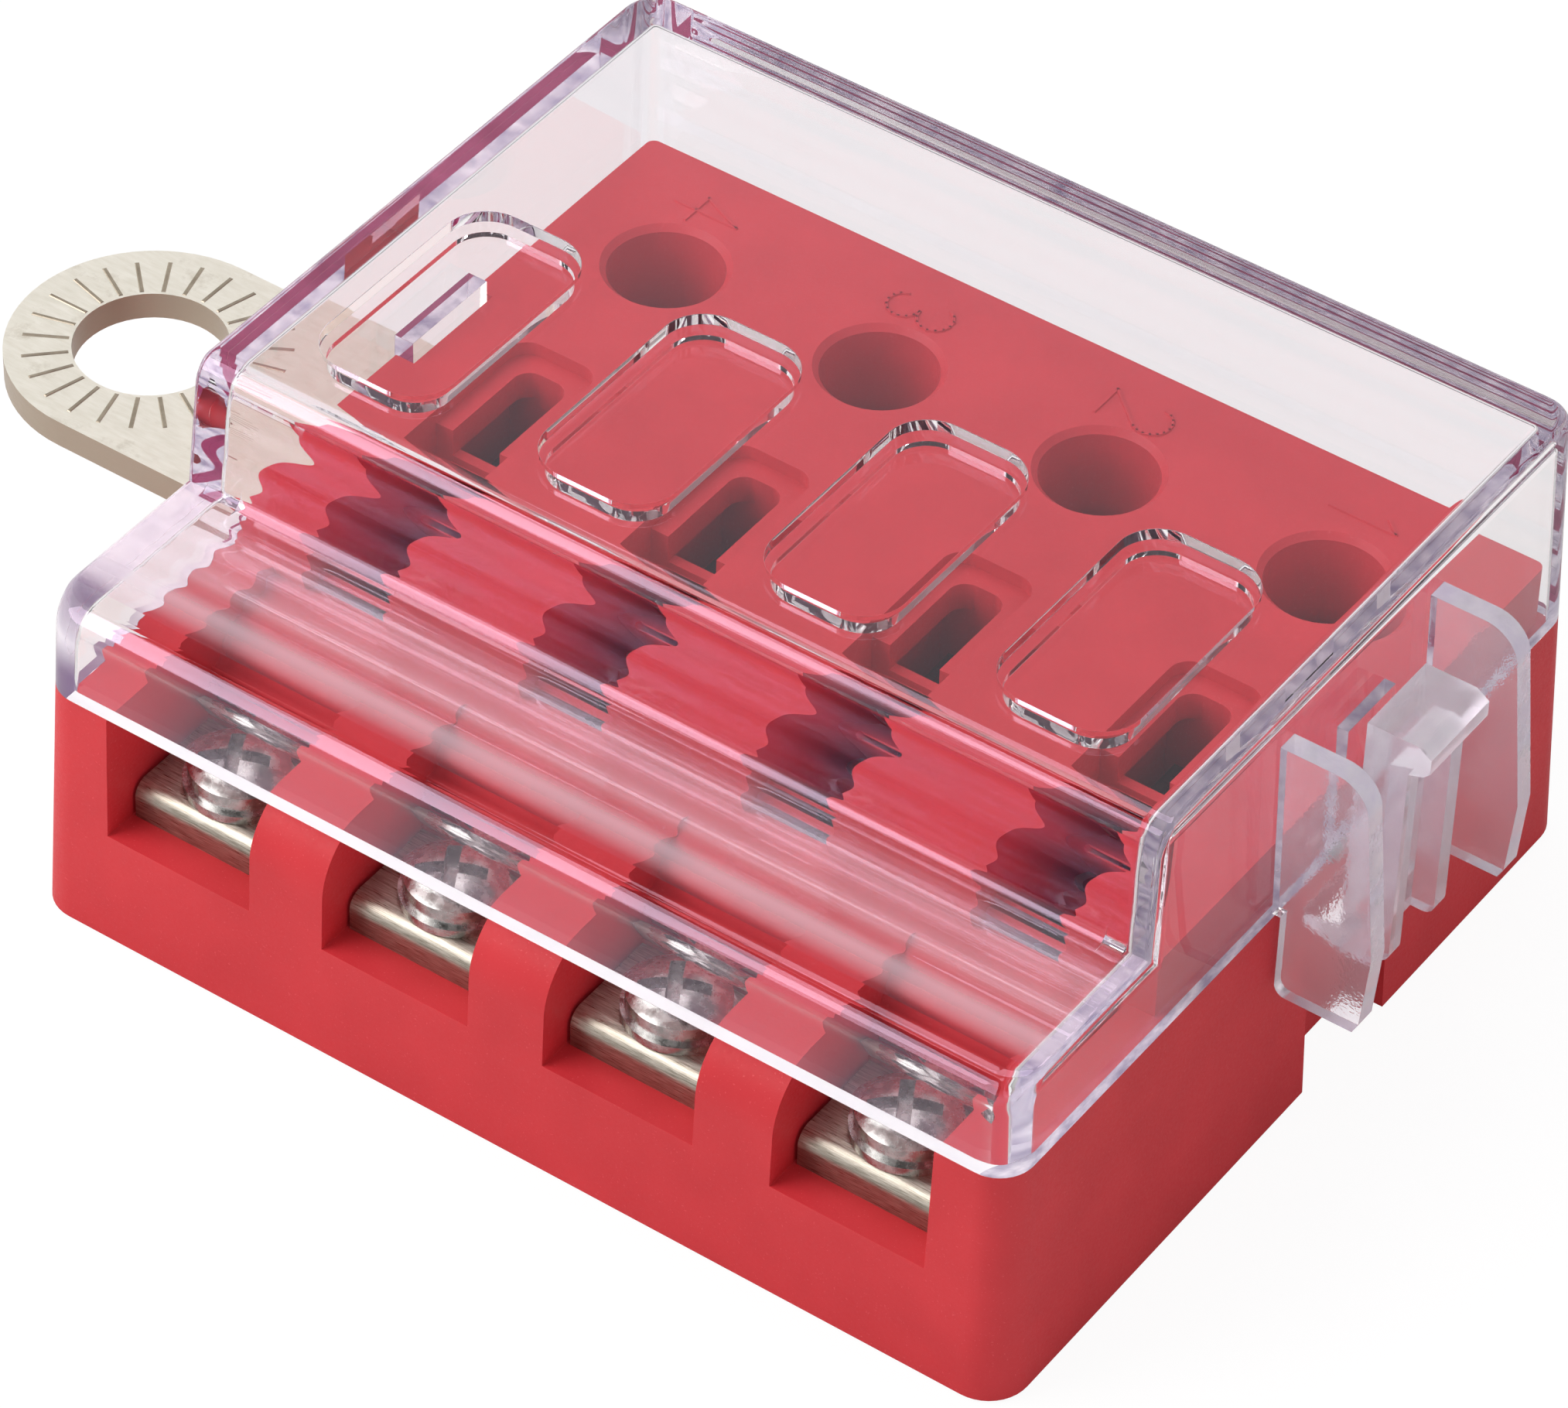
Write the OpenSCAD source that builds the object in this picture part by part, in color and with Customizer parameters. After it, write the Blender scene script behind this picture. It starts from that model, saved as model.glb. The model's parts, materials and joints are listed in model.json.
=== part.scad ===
// Four-way blade fuse block with a clear clip-on cover and a stud tab.
// Millimetres, +Z up, the origin at the middle of the underside of the base.
// The wires enter from -Y, the stud tab leaves along -X, the latch is on +X.

/* [Base] */
// width of the base at the bottom, across the circuits
base_w = 72; // [66:0.5:84]
// depth of the base at the bottom, from the wire side to the back
base_d = 63.2; // [62.2:0.1:70]
// height of the outer wall, where the cover sits
rim_h = 17.6; // [17:0.1:20]
// lean of the outer walls of the base, in degrees
base_draft = 2.5; // [0:0.1:3]
// radius of the upright corners at the bottom
corner_r = 2.8; // [2.6:0.1:4]
// height of the fuse deck above the outer wall
deck_rise = 4.4; // [3.8:0.1:4.6]
// distance of the deck behind the front face
deck_depth = 17.2; // [17.1:0.1:17.6]

/* [Circuits] */
// width of the solid ends outside the first and last terminal bay
end_wall = 5.95; // [5.7:0.05:7]
// width of one terminal bay between its barriers
bay_w = 10.9; // [10:0.1:11.4]
// height of the floor of the terminal bays
bay_floor = 8.3; // [7.5:0.1:8.8]
// drop of the barrier tops and of the shelf behind them below the outer wall
barrier_drop = 1.1; // [0.6:0.1:2]
// radius of the front of the barriers
barrier_r = 4.5; // [2:0.1:6]
// radius of the front edge of the shelf behind the bays
shelf_r = 4.4; // [1:0.1:4.6]
// distance of the terminal screws behind the front face
screw_depth = 7; // [6.6:0.1:7.6]

/* [Fuse sockets] */
// distance of the fuse centres behind the front face
fuse_depth = 29.2; // [28.9:0.1:29.6]
// width of the recess for the fuse foot
foot_w = 6.2; // [5.8:0.1:6.6]
// length of the recess for the fuse foot
foot_l = 20; // [19.4:0.1:20.4]
// depth of the recess for the fuse foot
foot_depth = 1; // [0.5:0.1:1.4]
// width of the narrow rear blade slot
slot_w = 3.6; // [3.4:0.1:4.4]

/* [Supply bar] */
// thickness of the supply bar and its stud tab
bar_t = 2; // [1.6:0.1:2.2]
// height of the underside of the supply bar
bar_z = 10.4; // [9.8:0.1:10.8]
// width of the stud tab, also the diameter of its round end
tab_w = 19; // [17:0.1:20]
// distance of the stud hole outside the base, at the bottom
tab_reach = 17.9; // [16:0.1:24]
// distance of the stud tab's middle behind the front face
tab_depth = 34.4; // [34:0.1:35.4]
// diameter of the stud hole
stud_d = 10.2; // [8:0.1:12]

/* [Screws] */
// radius of the terminal screw shanks
screw_r = 1.95; // [1.7:0.05:2.05]
// radius of the terminal screw heads
head_r = 3.5; // [3.2:0.1:3.7]
// height of the terminal screw heads
head_h = 2.4; // [2:0.1:2.8]
// thickness of the lock washers
washer_t = 0.6; // [0.4:0.1:0.9]
// radius of the bus screw shanks
bus_screw_r = 1.7; // [1.5:0.05:1.8]
// depth behind the front face of the bus screws and their access holes
access_depth = 50.2; // [49.6:0.1:50.8]
// diameter of the access holes at the deck
access_d = 7.7; // [7.2:0.1:8.2]

/* [Cover] */
// thickness of the cover's plates and walls
cover_wall = 1.9; // [1.7:0.1:2.1]
// lean of the cover walls, in degrees
cover_draft = 2; // [0:0.1:2.6]
// height of the lower plate of the cover above the outer wall
low_rise = 6.7; // [6.7:0.1:9]
// height of the upper plate of the cover above the outer wall
top_rise = 15.8; // [15:0.1:18]
// distance of the step of the cover behind the front face
step_depth = 14.9; // [14.4:0.1:15]
// lean of the step of the cover, in degrees
step_draft = 5; // [2:0.1:6]
// radius of the front top edge of the cover
front_r = 2; // [1.4:0.1:2.6]
// radius of the top edge of the step
step_r = 1.8; // [1:0.1:2.4]
// radius of the other top edges of the cover
edge_r = 0.5; // [0.4:0.1:1]
// width of the sunken pads over the fuses
pad_w = 9.4; // [7:0.1:9.8]
// length of the sunken pads over the fuses
pad_l = 17.7; // [14:0.1:18]
// distance of the pads' middle line beside the fuses, away from the latch
pad_shift = 1; // [0:0.1:1.4]
// depth of the sunken pads
pad_sink = 0.8; // [0.4:0.1:1]

/* [Latch] */
// distance of the latch's middle behind the front face
latch_depth = 37.1; // [36.6:0.1:37.6]
// reach of the guard fins out of the cover wall
guard_reach = 6.8; // [6.4:0.1:9]
// distance across the two guard fins
guard_span = 17.9; // [17:0.1:19]
// thickness of the guard fins
guard_t = 1.5; // [1.2:0.1:1.8]
// width of the latch lever
lever_w = 6.4; // [5.6:0.1:7.4]
// gap between the latch lever and the cover wall
lever_gap = 1.9; // [1.6:0.1:2.2]

/* [Hidden] */
$fn = 64;
eps = 0.01;
// how far a cut reaches past the faces that it opens
past = 1;
circuits = 4;

// clearances: cover over deck, metal in its pockets, screw in its hole,
// bottom plate in its seat, bar and washer in their rooms
cover_gap = 0.3;
metal_gap = 0.25;
screw_gap = 0.05;
plate_gap = 0.15;
room_gap = 0.4;

// outer walls at a height, and places given as a depth behind the front
function lean(z) = z * tan(base_draft);
function cover_lean(z) = (z - rim_h) * tan(cover_draft);
function behind(d) = d - base_d / 2;
pitch = (base_w - 2 * end_wall - bay_w) / (circuits - 1);
function circuit_x(n) = (circuits / 2 + 0.5 - n) * pitch;
rim_x = base_w / 2 - lean(rim_h);
rim_front = -base_d / 2 + lean(rim_h);
rim_back = base_d / 2 - lean(rim_h);
rim_corner = corner_r - lean(rim_h) / 2;
bays_x = base_w / 2 - end_wall;
barrier_h = rim_h - barrier_drop;

// cover levels, its step and the round corners inside and outside the step
low_h = rim_h + low_rise;
top_h = rim_h + top_rise;
low_under = low_h - cover_wall;
top_under = top_h - cover_wall;
step_y = behind(step_depth);
step_foot = step_y - low_rise * tan(step_draft);
step_hollow_r = 1;
step_bend_r = step_hollow_r + cover_wall;
inner_r = 0.5;
front_inner_r = 0.8;
pad_corner = 2.9;

// fuse deck
deck_h = rim_h + deck_rise;
deck_x = rim_x - cover_wall - cover_lean(deck_h) - cover_gap;
deck_front = behind(deck_depth);
deck_back = rim_back - cover_wall - cover_lean(deck_h) - cover_gap;
deck_corner = 0.6;
deck_skin = 3;

// terminal screws and their washers
screw_y = behind(screw_depth);
screw_length = 8;
screw_hole_z = 2;
screw_hole_r = screw_r + 0.7;
washer_r = head_r + 0.3;

// load contacts: a folded terminal plate with a tongue and a blade clip
sheet_t = 1.3;
bay_back = screw_y + washer_r + room_gap;
plate_x = bay_w / 2 - metal_gap;
plate_front = behind(2.8);
plate_back = bay_back - metal_gap;
plate_top = bay_floor + 2 * sheet_t;
plate_nose_r = 1.1;
seat_z = plate_top + washer_t;
fuse_y = behind(fuse_depth);
clip_l = 5;
load_ahead = 4.6;
load_y = fuse_y - load_ahead;
load_inset = 0.4;
load_x = foot_w / 2 - load_inset;
load_tail = 1;
load_end = load_y + clip_l / 2 + load_tail;
load_wall = 1.3;
load_room = deck_front + load_wall;
load_clip_drop = 2.6;
load_clip_top = barrier_h - load_clip_drop;

// arms of the blade clips: sheet, and half their gap at the foot, at the pinch and at the mouth
clip_t = 0.8;
arm_t = 0.7;
arm_lip_t = 0.6;
arm_foot = 1.8;
arm_pinch = 0.35;
arm_mouth = 0.95;

// line clips: a tongue under a bus screw and a blade clip
line_behind = 4.8;
line_y = fuse_y + line_behind;
line_x = 2.8;
line_front = line_y - clip_l / 2 - 0.2;
access_y = behind(access_depth);
line_tail = 3.6;
line_back = access_y + line_tail;
line_clip_drop = 6;
line_clip_top = deck_h - line_clip_drop;
foot_corner = 1.5;
slot_corner = 1.2;
slot_split = fuse_y + 1.1;
slot_tail = 3.8;
slot_back = line_y + slot_tail;

// supply bar stack under the deck
bar_top = bar_z + bar_t;
tongue_top = bar_top + clip_t;
web_top = tongue_top + 1.4;
tab_x = -base_w / 2 - tab_reach;
tab_y = behind(tab_depth);
bar_x = base_w / 2 - 4.7;
bar_front = line_front - 0.5;
bar_back = line_back + 0.8;
strip_end = circuit_x(circuits) - foot_w / 2 - 1.6;
pocket_x = bar_x + 0.5;
plate_t = 2.4;
plate_lip = 0.8;

// bus screws
bus_head_r = 2.9;
bus_head_h = 2.2;
bus_length = 8;

// latch: guard fins, lever and the groove in the base behind it
latch_y = behind(latch_depth);
guard_x = rim_x + guard_reach;
guard_lean = 1.1;
guard_low = rim_h - 5.8;
guard_top = rim_h + 13.4;
guard_r = 2.5;
guard_foot_r = 0.8;
lever_x = rim_x + lever_gap;
lever_t = 1.4;
lever_low = rim_h - 5.4;
lever_top = rim_h + 12.4;
ledge_reach = 4.4;
rib_w = 1.3;
rib_reach = 1.6;
web_inset = 0.6;
groove_x = rim_x - 1.7;
groove_w = lever_w + 2.7;

// tongue of the cover on the side away from the latch
key_w = 7.6;
key_t = 1.8;
key_x = rim_x - cover_wall - key_t + 0.2;
key_drop = 3;
key_rise = 1.3;
key_low = rim_h - key_drop;
key_high = deck_h + key_rise;

// the corners of a flat block from y0 to y1, with a radius for each end
module plan(half_x, y0, y1, r0, r1) {
    for (s = [-1, 1]) {
        translate([s * (half_x - r0), y0 + r0]) circle(r0, $fn = 40);
        translate([s * (half_x - r1), y1 - r1]) circle(r1, $fn = 40);
    }
}

// a box given by its two ends in each direction
module span(x, y, z) {
    translate([x[0], y[0], z[0]]) cube([x[1] - x[0], y[1] - y[0], z[1] - z[0]]);
}

// an upright slot with rounded corners, from z0 up
module slot(x, y0, y1, w, r, z0, z1) {
    translate([x, 0, z0]) linear_extrude(z1 - z0) {
        translate([-w / 2, y0 + r]) square([w, y1 - y0 - 2 * r]);
        translate([-w / 2 + r, y0]) square([w - 2 * r, y1 - y0]);
        for (sx = [-1, 1])
            for (y = [y0 + r, y1 - r])
                translate([sx * (w / 2 - r), y]) circle(r);
    }
}

// outlines drawn in X and Z, pushed out along Y
module across(y0, y1) {
    translate([0, y1, 0]) rotate([90, 0, 0]) linear_extrude(y1 - y0) children();
}

// outlines drawn in Y and Z, pushed out along X
module along(x0, x1) {
    translate([x0, 0, 0]) rotate([90, 0, 90]) linear_extrude(x1 - x0) children();
}

// leaning outer block of the base
module base_block() {
    hull()
        for (z = [0, rim_h - eps])
            translate([0, 0, z]) linear_extrude(eps)
                plan(base_w / 2 - lean(z), -base_d / 2 + lean(z), base_d / 2 - lean(z),
                     corner_r - lean(z) / 2, corner_r - lean(z) / 2);
}

module terminal_bay(x) {
    // the round edge runs a little past the faces that it joins, so that it crosses them
    cross = 0.05;
    span([x - bay_w / 2, x + bay_w / 2], [-base_d / 2 - past, bay_back], [bay_floor, deck_h + past]);
    along(x - bay_w / 2, x + bay_w / 2) difference() {
        translate([bay_back - eps, barrier_h - shelf_r]) square([shelf_r, shelf_r + past]);
        translate([bay_back + shelf_r - cross, barrier_h - shelf_r + cross]) circle(shelf_r);
    }
    translate([x, screw_y, screw_hole_z]) cylinder(r = screw_hole_r, h = bay_floor);
    // way for the contact's tongue to the fuse socket
    span([x - foot_w / 2, x + foot_w / 2], [bay_back - past, load_room + past],
         [bay_floor, bay_floor + sheet_t + metal_gap]);
}

module fuse_socket(x) {
    slot(x, fuse_y - foot_l / 2, fuse_y + foot_l / 2, foot_w, foot_corner, deck_h - foot_depth, deck_h + past);
    span([x - foot_w / 2, x + foot_w / 2], [deck_front - past, slot_split], [barrier_h, deck_h + past]);
    span([x - foot_w / 2, x + foot_w / 2], [load_room, slot_split], [bay_floor, deck_h]);
    slot(x, slot_split - slot_corner, slot_back, slot_w, slot_corner, deck_h - deck_skin - eps, deck_h + past);
    span([x - line_x - metal_gap, x + line_x + metal_gap], [line_front - metal_gap, slot_back],
         [bar_top - past, deck_h - deck_skin]);
}

module access_hole(x) {
    narrow = 0.35;
    lead = 0.4;
    translate([x, access_y, web_top])
        cylinder(r1 = access_d / 2 - narrow, r2 = access_d / 2, h = deck_h - web_top);
    translate([x, access_y, deck_h - lead])
        cylinder(r1 = access_d / 2 - eps, r2 = access_d / 2 + lead, h = lead + eps);
    translate([x, access_y, bar_top - past])
        cylinder(r = bus_screw_r + plate_gap, h = web_top - bar_top + 2 * past);
    span([x - line_x - metal_gap, x + line_x + metal_gap], [slot_back - past, line_back + metal_gap],
         [bar_top - past, tongue_top]);
}

// hollow under the deck for the supply bar, open downwards and to the tab
module bar_pocket() {
    tab = [tab_y - tab_w / 2 - plate_gap, tab_y + tab_w / 2 + plate_gap];
    span([-pocket_x, pocket_x], [bar_front - room_gap, bar_back + room_gap], [-past, bar_top]);
    span([-pocket_x, strip_end + cover_gap], [tab[0], bar_back], [-past, bar_top]);
    span([-base_w, -pocket_x + past], tab, [-past, bar_top]);
    span([-pocket_x - plate_lip, pocket_x + plate_lip],
         [bar_front - room_gap - plate_lip, bar_back + room_gap + plate_lip], [-past, plate_t]);
}

module base() color("firebrick") {
    difference() {
        union() {
            base_block();
            translate([0, 0, rim_h - past]) linear_extrude(deck_rise + past) {
                translate([-deck_x, deck_front]) square([2 * deck_x, deck_back - deck_front - deck_corner]);
                translate([-deck_x + deck_corner, deck_back - 2 * deck_corner])
                    square([2 * (deck_x - deck_corner), 2 * deck_corner]);
                for (s = [-1, 1])
                    translate([s * (deck_x - deck_corner), deck_back - deck_corner]) circle(deck_corner);
            }
        }
        for (n = [1:circuits]) {
            terminal_bay(circuit_x(n));
            fuse_socket(circuit_x(n));
            access_hole(circuit_x(n));
        }
        // barriers and the shelf behind them stop below the cover, and the barriers have round fronts
        span([-bays_x, bays_x], [-base_d / 2 - past, deck_front], [barrier_h, deck_h + past]);
        along(-bays_x, bays_x) difference() {
            nose_y = -base_d / 2 + lean(barrier_h - barrier_r) + barrier_r;
            translate([-base_d / 2 - past, barrier_h - barrier_r])
                square([nose_y + base_d / 2 + past, barrier_r + past]);
            translate([nose_y, barrier_h - barrier_r]) circle(barrier_r);
        }
        bar_pocket();
        // groove behind the latch and pocket for the cover's tongue
        span([groove_x, base_w], [latch_y - groove_w / 2, latch_y + groove_w / 2], [-past, deck_h + past]);
        span([-key_x - key_t - metal_gap, -key_x + metal_gap],
             [latch_y - key_w / 2 - metal_gap, latch_y + key_w / 2 + metal_gap],
             [key_low - cover_gap, deck_h + past]);
    }
}

module bottom_plate() color("firebrick") {
    lip = plate_lip - plate_gap;
    union() {
        span([-pocket_x - lip, pocket_x + lip], [bar_front - room_gap - lip, bar_back + room_gap + lip],
             [0, plate_t]);
        // upright part that fills the wall under the tab
        across(tab_y - tab_w / 2, tab_y + tab_w / 2)
            polygon([
                [-base_w / 2 + plate_gap, 0],
                [strip_end + plate_gap, 0],
                [strip_end + plate_gap, bar_z],
                [-base_w / 2 + lean(bar_z) + plate_gap, bar_z]
            ]);
    }
}

// supply bar: the plate under all circuits and the stud tab in one piece
module bus_bar() color("lightgray") {
    translate([0, 0, bar_z]) linear_extrude(bar_t) difference() {
        union() {
            translate([-bar_x, bar_front]) square([2 * bar_x, bar_back - bar_front]);
            translate([tab_x, tab_y - tab_w / 2]) square([strip_end - tab_x, tab_w]);
            translate([tab_x, tab_y]) circle(tab_w / 2);
        }
        translate([tab_x, tab_y]) circle(stud_d / 2);
        for (n = [1:circuits]) translate([circuit_x(n), access_y]) circle(bus_screw_r + screw_gap);
    }
}

// two spring arms that pinch a fuse blade, from z0 up to z1
module clip_arms(x, y, z0, z1) {
    knee = z0 + 0.3 * (z1 - z0);
    pinch = z0 + 0.7 * (z1 - z0);
    translate([x, 0, 0]) across(y - clip_l / 2, y + clip_l / 2)
        for (s = [-1, 1])
            polygon([
                [s * arm_foot, z0],
                [s * (arm_foot + clip_t), z0],
                [s * (arm_foot + clip_t), knee],
                [s * (arm_pinch + arm_t), pinch],
                [s * (arm_mouth + arm_lip_t), z1],
                [s * arm_mouth, z1],
                [s * arm_pinch, pinch],
                [s * arm_foot, knee]
            ]);
}

module line_clip(n) color("silver") {
    x = circuit_x(n);
    difference() {
        union() {
            span([x - line_x, x + line_x], [line_front, line_back], [bar_top, tongue_top]);
            clip_arms(x, line_y, tongue_top - clip_t / 2, line_clip_top);
        }
        translate([x, access_y, bar_top - past])
            cylinder(r = bus_screw_r + 2 * screw_gap, h = clip_t + 2 * past);
    }
}

module load_contact(n) color("silver") {
    x = circuit_x(n);
    difference() {
        union() {
            // terminal plate with a round top edge in front
            along(x - plate_x, x + plate_x) {
                translate([plate_front + plate_nose_r, bay_floor])
                    square([plate_back - plate_front - plate_nose_r, plate_top - bay_floor]);
                translate([plate_front, bay_floor])
                    square([2 * plate_nose_r, plate_top - bay_floor - plate_nose_r]);
                translate([plate_front + plate_nose_r, plate_top - plate_nose_r]) circle(plate_nose_r);
            }
            span([x - load_x, x + load_x], [plate_back - past, load_end], [bay_floor, bay_floor + sheet_t]);
            clip_arms(x, load_y, bay_floor + sheet_t / 2, load_clip_top);
        }
        translate([x, screw_y, bay_floor - past]) cylinder(r = screw_r + screw_gap, h = 2 * sheet_t + 2 * past);
    }
}

// round head screw standing on z = 0, its shank below
module pan_screw(hr, hh, sr, length, cross_w, cross_l, cross_depth) {
    dome = (hr * hr + hh * hh / 4) / hh;
    tip = 0.5;
    difference() {
        rotate_extrude() {
            intersection() {
                square([hr, hh]);
                translate([0, hh - dome]) circle(dome);
            }
            translate([0, -length + tip]) square([sr, length]);
            polygon([[0, -length], [sr - tip, -length], [sr, -length + tip], [0, -length + tip]]);
        }
        for (a = [0, 90])
            rotate([0, 0, a + 30])
                span([-cross_l / 2, cross_l / 2], [-cross_w / 2, cross_w / 2], [hh - cross_depth, hh + past]);
    }
}

module bus_screw(n) color("gray") {
    translate([circuit_x(n), access_y, web_top])
        pan_screw(bus_head_r, bus_head_h, bus_screw_r, bus_length, 0.8, 3.4, 1.1);
}

module lock_washer(n) color("gray") {
    translate([circuit_x(n), screw_y, plate_top]) linear_extrude(washer_t) difference() {
        circle(washer_r);
        circle(screw_r + plate_gap);
    }
}

module terminal_screw(n) color("gray") {
    translate([circuit_x(n), screw_y, seat_z])
        pan_screw(head_r, head_h, screw_r, screw_length, 0.9, 4.4, 1.3);
}

// how far a rounded top edge has rolled in at a height
function roll(z, top, r) = z <= top - r ? 0 : r - sqrt(max(0, r * r - pow(z - top + r, 2)));

// leaning block with rounded top edges: its front edge and its corners have their own radii,
// and its sizes are those at the outer wall's height
module shell_block(half_x, y0, y1, z0, top, tilt, front, edge, r0, r1) {
    rise = [for (i = [0:5]) sin(18 * i)];
    levels = concat([z0], [for (s = rise) top - front + front * s], [for (s = rise) top - edge + edge * s]);
    hull()
        for (z = levels) {
            side = half_x - cover_lean(z) - roll(z, top, edge);
            front_y = y0 + (z - rim_h) * tan(tilt) + roll(z, top, front);
            back_y = y1 - cover_lean(z) - roll(z, top, edge);
            shrink = roll(z, top, edge);
            translate([0, 0, z - eps]) linear_extrude(eps)
                plan(side, front_y, back_y, max(inner_r / 2, r0 - shrink), max(inner_r / 2, r1 - shrink));
        }
}

module cover_shell() {
    // the lower front block runs this far into the block behind it
    lap = 8;
    side = rim_x - cover_wall;
    corner = max(inner_r, rim_corner - cover_wall);
    // the bends run a little into the plate and the step, so that they cross them instead of grazing them
    bend_y = step_y - step_hollow_r + 0.12;
    bend_z = low_h + step_hollow_r - 0.05;
    difference() {
        union() {
            shell_block(rim_x, rim_front, step_y + lap, rim_h + eps, low_h, cover_draft, front_r, edge_r,
                        rim_corner, rim_corner);
            shell_block(rim_x, step_foot, rim_back, rim_h + eps, top_h, step_draft, step_r, edge_r,
                        inner_r, rim_corner);
            // hollow bend at the foot of the step
            along(-rim_x + cover_wall, rim_x - cover_wall) difference() {
                translate([bend_y, low_h - past]) square([step_hollow_r + past, step_hollow_r + past]);
                translate([bend_y, bend_z]) circle(step_hollow_r);
            }
        }
        shell_block(side, rim_front + cover_wall, step_y + lap, rim_h - past, low_under, cover_draft,
                    front_inner_r, inner_r, corner, rim_corner);
        shell_block(side, step_foot + cover_wall, rim_back - cover_wall, rim_h - past, top_under, step_draft,
                    inner_r, inner_r, inner_r, corner);
        // round bend inside the step
        along(-side + cover_wall, side - cover_wall) difference() {
            translate([bend_y, low_under - past]) square([step_bend_r + past, step_bend_r + past]);
            translate([bend_y, bend_z]) circle(step_bend_r);
        }
        for (n = [1:circuits])
            slot(circuit_x(n) - pad_shift, fuse_y - pad_l / 2, fuse_y + pad_l / 2, pad_w, pad_corner,
                 top_h - pad_sink, top_h + past);
    }
    // undersides of the sunken pads
    for (n = [1:circuits])
        slot(circuit_x(n) - pad_shift, fuse_y - pad_l / 2 + room_gap, fuse_y + pad_l / 2 - room_gap,
             pad_w - 2 * room_gap, pad_corner - room_gap, top_under - pad_sink, top_h - pad_sink - cover_gap);
}

// one guard fin: its outline beside the latch
module guard_outline() {
    wall = rim_x - cover_lean(guard_top) - room_gap;
    free = base_w / 2 - lean(guard_low) + cover_gap;
    upper = guard_x - guard_lean;
    polygon([
        [wall, rim_h + room_gap],
        [free, rim_h + room_gap],
        [free, guard_low + guard_foot_r],
        [free + guard_foot_r, guard_low + guard_foot_r],
        [free + guard_foot_r, guard_low],
        [guard_x - guard_foot_r, guard_low],
        [guard_x - guard_foot_r / 2, guard_low + guard_foot_r],
        [guard_x, rim_h + room_gap],
        [upper, guard_top - guard_r],
        [upper - guard_r, guard_top - guard_r],
        [upper - guard_r, guard_top],
        [wall, guard_top]
    ]);
    translate([upper - guard_r, guard_top - guard_r]) circle(guard_r);
    translate([free + guard_foot_r, guard_low + guard_foot_r]) circle(guard_foot_r);
}

// lever with its thumb ledge at the top and its hook at the bottom
module lever_outline() {
    polygon([
        [lever_x, lever_low],
        [lever_x + lever_t, lever_low],
        [lever_x + lever_t, lever_top - 3],
        [lever_x + ledge_reach - 0.4, lever_top - 2.1],
        [lever_x + ledge_reach, lever_top - 1.7],
        [lever_x + ledge_reach, lever_top - 0.6],
        [lever_x + ledge_reach - 0.9, lever_top],
        [lever_x, lever_top]
    ]);
    polygon([
        [lever_x + 0.2, lever_low],
        [groove_x + 0.8, lever_low + 0.9],
        [groove_x + 0.8, lever_low + 1.5],
        [lever_x + 0.2, lever_low + 2.2]
    ]);
}

// ribs on the lever, round at the bottom
module rib_outline() {
    x = lever_x + lever_t - eps;
    r = rib_reach / 2;
    translate([x, lever_low + r]) square([rib_reach, lever_top - lever_low - 2.4 - r]);
    translate([x, lever_low]) square([r, 2 * r]);
    translate([x + r, lever_low + r]) circle(r);
}

// springy web that joins the lever to the wall
module web_outline() {
    polygon([
        [rim_x - 0.9, rim_h + 0.8],
        [rim_x + 0.9, rim_h + 0.8],
        [lever_x + 0.3, rim_h + 5.4],
        [lever_x + 0.3, rim_h + 7.6],
        [rim_x + 0.5, rim_h + 3],
        [rim_x + 0.4, rim_h + 10.4],
        [rim_x - 0.9, rim_h + 10.4]
    ]);
}

module cover() color("gainsboro", 0.4) {
    union() {
        cover_shell();
        for (y = [latch_y - guard_span / 2, latch_y + guard_span / 2 - guard_t])
            across(y, y + guard_t) guard_outline();
        across(latch_y - lever_w / 2, latch_y + lever_w / 2) lever_outline();
        for (y = [latch_y - lever_w / 2, latch_y + lever_w / 2 - rib_w])
            across(y, y + rib_w) rib_outline();
        across(latch_y - lever_w / 2 + web_inset, latch_y + lever_w / 2 - web_inset) web_outline();
        // tongue that drops into the base on the other side
        span([-key_x - key_t, -key_x], [latch_y - key_w / 2, latch_y + key_w / 2], [key_low, key_high]);
    }
}

base();
bottom_plate();
cover();
bus_bar();
for (n = [1:circuits]) {
    line_clip(n);
    load_contact(n);
    bus_screw(n);
    lock_washer(n);
    terminal_screw(n);
}
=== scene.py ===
"""Looks of a four-way blade fuse block: moulded edges, materials, light and camera, in the CAD frame."""
import json
from math import cos, pi, radians, sin

import bmesh
import bpy
from mathutils import Matrix, Vector


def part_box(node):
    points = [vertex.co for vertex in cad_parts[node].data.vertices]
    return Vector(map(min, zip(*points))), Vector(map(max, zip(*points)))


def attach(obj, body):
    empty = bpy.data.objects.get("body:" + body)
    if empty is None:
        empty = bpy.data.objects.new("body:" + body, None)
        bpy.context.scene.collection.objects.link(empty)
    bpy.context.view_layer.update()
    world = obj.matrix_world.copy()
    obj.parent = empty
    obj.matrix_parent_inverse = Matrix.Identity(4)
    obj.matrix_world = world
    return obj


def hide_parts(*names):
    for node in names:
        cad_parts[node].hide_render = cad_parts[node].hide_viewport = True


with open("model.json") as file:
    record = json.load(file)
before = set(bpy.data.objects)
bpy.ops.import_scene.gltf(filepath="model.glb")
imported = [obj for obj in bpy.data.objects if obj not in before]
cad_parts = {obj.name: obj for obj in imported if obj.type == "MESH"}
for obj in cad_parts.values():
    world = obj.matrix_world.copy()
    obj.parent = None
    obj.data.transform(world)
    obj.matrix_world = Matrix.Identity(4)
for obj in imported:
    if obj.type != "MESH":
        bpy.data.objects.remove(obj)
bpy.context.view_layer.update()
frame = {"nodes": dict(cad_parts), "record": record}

NODES = frame["nodes"]
MM = 0.001
CIRCUITS = range(1, 5)

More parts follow.
